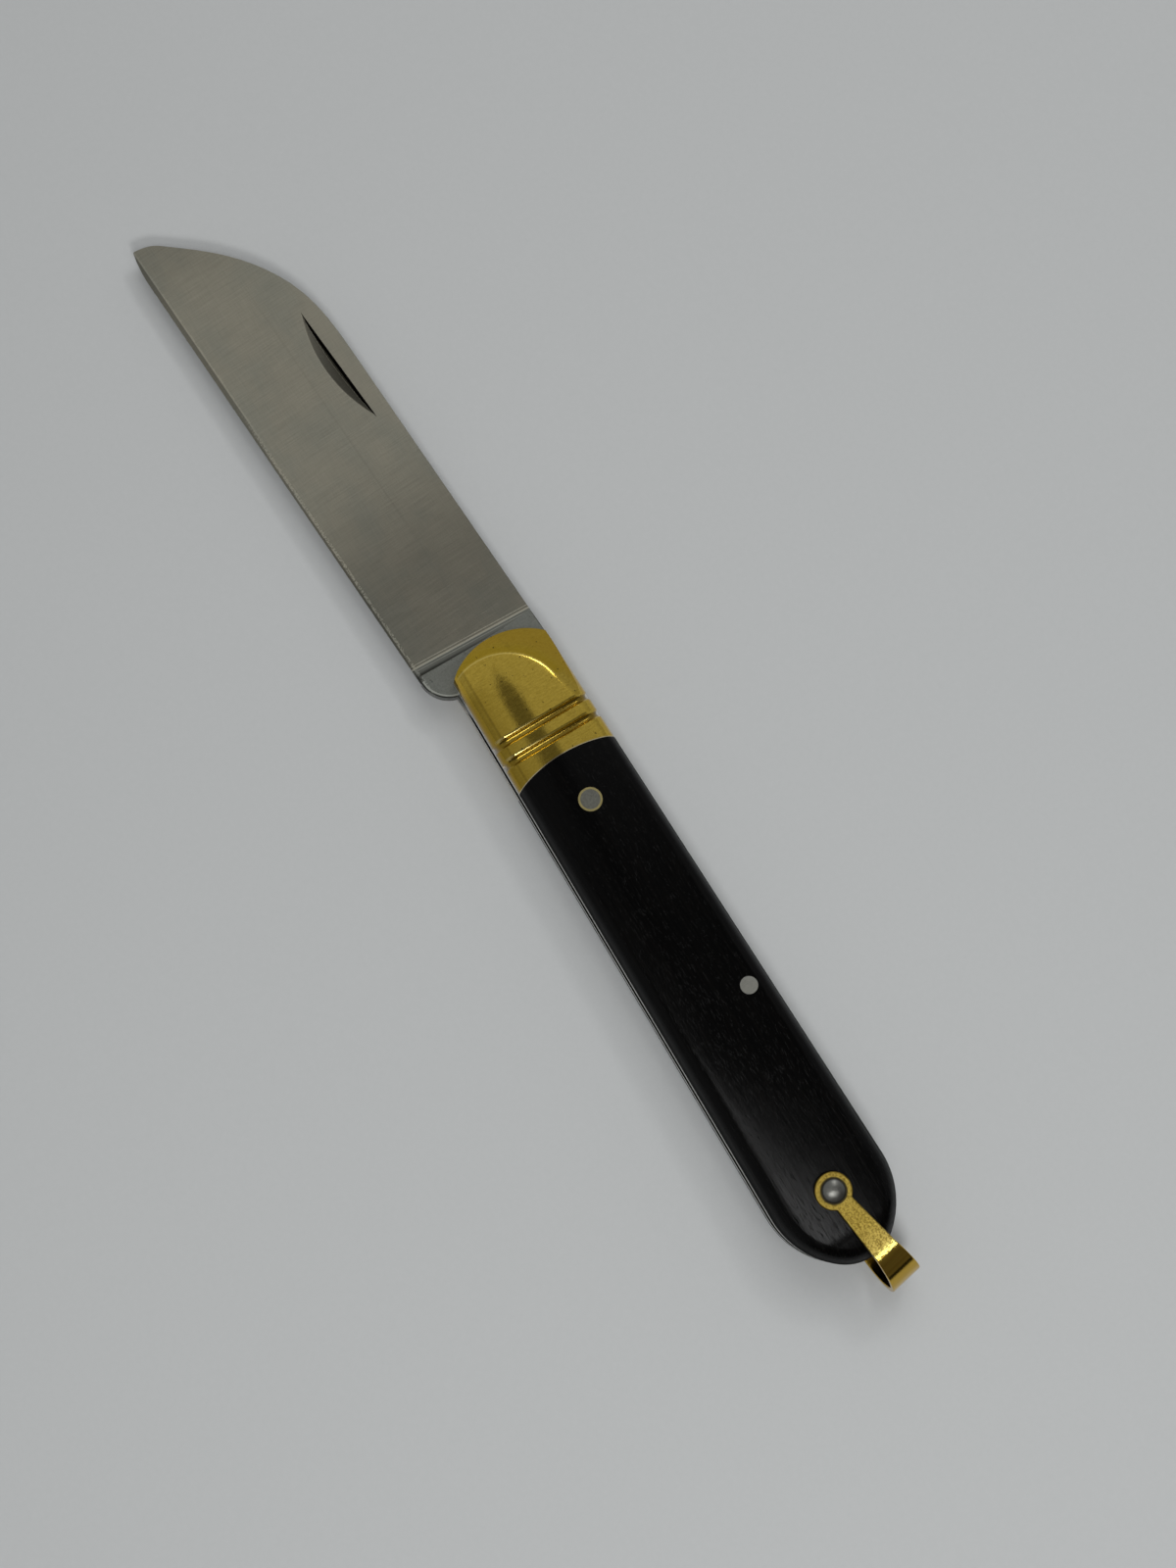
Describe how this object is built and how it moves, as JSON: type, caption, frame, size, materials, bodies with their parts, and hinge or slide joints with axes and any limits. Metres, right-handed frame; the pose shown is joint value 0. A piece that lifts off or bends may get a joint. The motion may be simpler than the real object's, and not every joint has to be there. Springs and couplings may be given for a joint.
{
  "type": "folding pocket knife",
  "caption": "Folding pocket knife with a wide sheepfoot blade on a back spring, dark wood scales behind grooved brass bolsters, and a swinging brass bail at the butt.",
  "frame": {"origin": "where the blade's pivot axis meets the flat of the pile side bolster", "axes": "+X from the pivot to the butt, +Y to the back of the handle, +Z along the pivot axis to the mark side, the side with the nail nick"},
  "size_m": [0.2, 0.0258, 0.0142],
  "materials": {
    "blade_steel": "satin, ground across the blade",
    "spring_steel": "satin",
    "liner_steel": "satin",
    "pin_steel": "worn satin",
    "rivet_steel": "mottled",
    "bolster_brass": "polished, slightly tarnished",
    "ring_brass": "polished",
    "bail_brass": "satin with fine specks",
    "scale_wood": "near-black, oiled, fine grain"
  },
  "bodies": {
    "handle": {"back_spring": "spring_steel", "pivot_pin": "pin_steel", "spring_pin": "pin_steel", "bail_pin": "pin_steel", "mark_side_liner": "liner_steel", "mark_side_bolster": "bolster_brass", "mark_side_scale": "scale_wood", "mark_side_scale_rivet": "rivet_steel", "mark_side_rivet_ring": "ring_brass", "mark_side_bolster_rivets": "rivet_steel", "pile_side_liner": "liner_steel", "pile_side_bolster": "bolster_brass", "pile_side_scale": "scale_wood", "pile_side_scale_rivet": "rivet_steel", "pile_side_rivet_ring": "ring_brass", "pile_side_bolster_rivets": "rivet_steel"},
    "blade": {"blade": "blade_steel"},
    "bail": {"bail": "bail_brass"}
  },
  "joints": [
    {"name": "blade_fold", "type": "hinge", "parent": "handle", "child": "blade", "pos_m": [0, 0, 0.0055], "axis": [0, 0, 1], "range_deg": [0, 172.5], "deforming": ["back_spring"]},
    {"name": "bail_swing", "type": "hinge", "parent": "handle", "child": "bail", "pos_m": [0.0875, 0.0038, 0.0055], "axis": [0, 0, 1], "range_deg": [-98, 100]}
  ]
}
